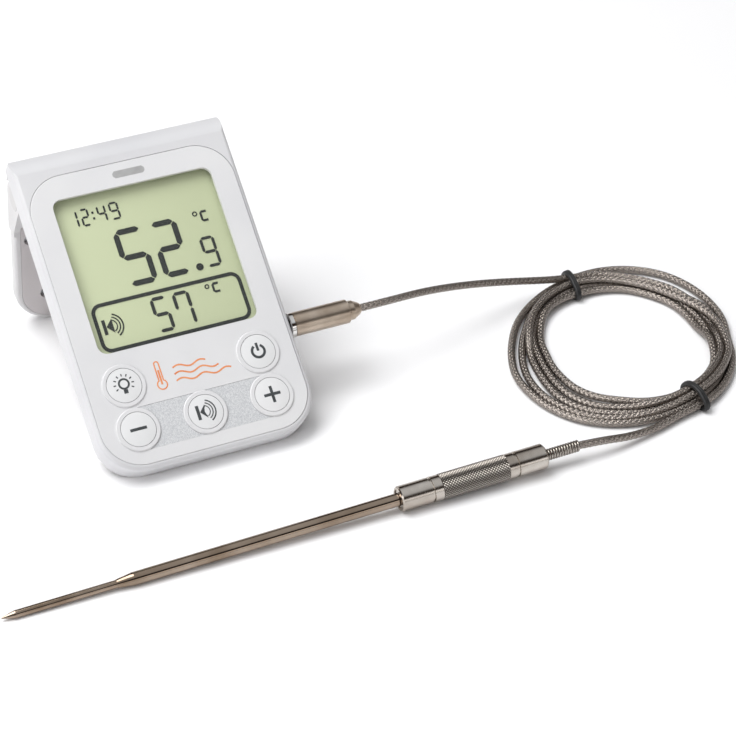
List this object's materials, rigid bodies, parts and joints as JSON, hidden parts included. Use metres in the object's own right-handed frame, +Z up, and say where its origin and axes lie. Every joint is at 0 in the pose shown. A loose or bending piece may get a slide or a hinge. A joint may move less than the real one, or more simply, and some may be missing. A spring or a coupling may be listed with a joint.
{
  "type": "meat thermometer",
  "caption": "Digital roasting thermometer: leaning display unit on a fold-out rear stand, round keys, and a needle probe with knurled handle on a coiled braided steel lead.",
  "frame": {"origin": "middle of the flat foot under the housing, on the table", "axes": "+X to the right across the face and along the plug, +Y away from the viewer, +Z up"},
  "size_m": [0.2567, 0.1433, 0.0675],
  "materials": {
    "housing_white": "moulded white ABS, semi-gloss",
    "face_white": "glossy white inlay",
    "button_white": "satin white caps with black printed signs",
    "band_silver": "silver-grey sparkle paint",
    "window_clear": "clear acrylic pane",
    "lcd_green": "yellow-green reflective LCD",
    "guide_frosted": "frosted acrylic",
    "inner_plastic": "unpainted moulding",
    "black_rubber": "matte black",
    "keypad_silicone": "translucent grey silicone",
    "board_green": "solder-masked fibreglass",
    "black_plastic": "matte black moulding",
    "rear_white": "fine-textured white ABS",
    "screw_steel": "zinc-plated",
    "cell_wrap": "printed wrap",
    "contact_nickel": "nickel-plated spring steel",
    "magnet_nickel": "nickel-plated magnet",
    "lamp_yellow": "LED encapsulant",
    "plug_chrome": "bright nickel",
    "plug_satin": "satin nickel, warm tint",
    "braid_steel": "braided stainless wire",
    "probe_steel": "ground stainless steel",
    "handle_steel": "turned and knurled stainless steel",
    "sensor_epoxy": "epoxy bead",
    "wire_jacket": "glass-fibre sleeve"
  },
  "bodies": {
    "housing": {"front_housing": "housing_white", "face_plate": "face_white", "control_band": "band_silver", "display_window": "window_clear", "lcd_panel": "lcd_green", "light_guide": "guide_frosted", "lcd_frame": "inner_plastic", "lcd_connector_strip": "black_rubber", "circuit_board": "board_green", "keypad_mat": "keypad_silicone", "backlight_lamp": "lamp_yellow", "processor": "black_plastic", "buzzer": "black_plastic", "probe_socket": "black_plastic", "rear_housing": "rear_white", "housing_screws": "screw_steel", "batteries": "cell_wrap", "contact_plates": "contact_nickel", "contact_springs": "contact_nickel"},
    "stand_flap": {"stand": "housing_white", "stand_liner": "rear_white", "stand_screws": "screw_steel", "stand_magnets": "magnet_nickel", "hinge_pins": "screw_steel", "hinge_caps": "housing_white"},
    "cover": {"battery_cover": "rear_white"},
    "probe_and_lead": {"plug_tip": "plug_chrome", "plug_insulator": "black_plastic", "plug_shank": "plug_chrome", "plug_collar": "plug_chrome", "plug_sleeve": "plug_satin", "plug_cone": "plug_satin", "lead_to_plug": "braid_steel", "lead_to_probe": "braid_steel", "lead_coil": "braid_steel", "coil_tie_back": "black_rubber", "coil_tie_front": "black_rubber", "needle_tube": "probe_steel", "probe_shaft": "probe_steel", "probe_handle": "handle_steel", "handle_bush": "handle_steel", "handle_end_plug": "handle_steel", "cable_spring": "handle_steel", "temperature_sensor": "sensor_epoxy", "sensor_wires": "wire_jacket"},
    "light_key": {"light_button": "button_white"},
    "power_key": {"power_button": "button_white"},
    "minus_key": {"minus_button": "button_white"},
    "alarm_key": {"alarm_button": "button_white"},
    "plus_key": {"plus_button": "button_white"}
  },
  "joints": [
    {"name": "stand_hinge", "type": "hinge", "parent": "housing", "child": "stand_flap", "pos_m": [0, 0.06758, 0.05368], "axis": [-1, 0, 0], "range_deg": [0, 61.8]},
    {"name": "battery_cover_slide", "type": "slide", "parent": "housing", "child": "cover", "axis": [-1, 0, 0], "range_m": [0, 0.012]},
    {"name": "plug_slide", "type": "slide", "parent": "housing", "child": "probe_and_lead", "axis": [1, 0, 0], "range_m": [0, 0.013]},
    {"name": "light_press", "type": "slide", "parent": "housing", "child": "light_key", "axis": [0, 0.6157, -0.788], "range_m": [0, 0.0008], "stiffness_N_per_m": 1200, "springref_m": -0.0002},
    {"name": "power_press", "type": "slide", "parent": "housing", "child": "power_key", "axis": [0, 0.6157, -0.788], "range_m": [0, 0.0008], "stiffness_N_per_m": 1200, "springref_m": -0.0002},
    {"name": "minus_press", "type": "slide", "parent": "housing", "child": "minus_key", "axis": [0, 0.6157, -0.788], "range_m": [0, 0.0008], "stiffness_N_per_m": 1200, "springref_m": -0.0002},
    {"name": "alarm_press", "type": "slide", "parent": "housing", "child": "alarm_key", "axis": [0, 0.6157, -0.788], "range_m": [0, 0.0008], "stiffness_N_per_m": 1200, "springref_m": -0.0002},
    {"name": "plus_press", "type": "slide", "parent": "housing", "child": "plus_key", "axis": [0, 0.6157, -0.788], "range_m": [0, 0.0008], "stiffness_N_per_m": 1200, "springref_m": -0.0002}
  ]
}
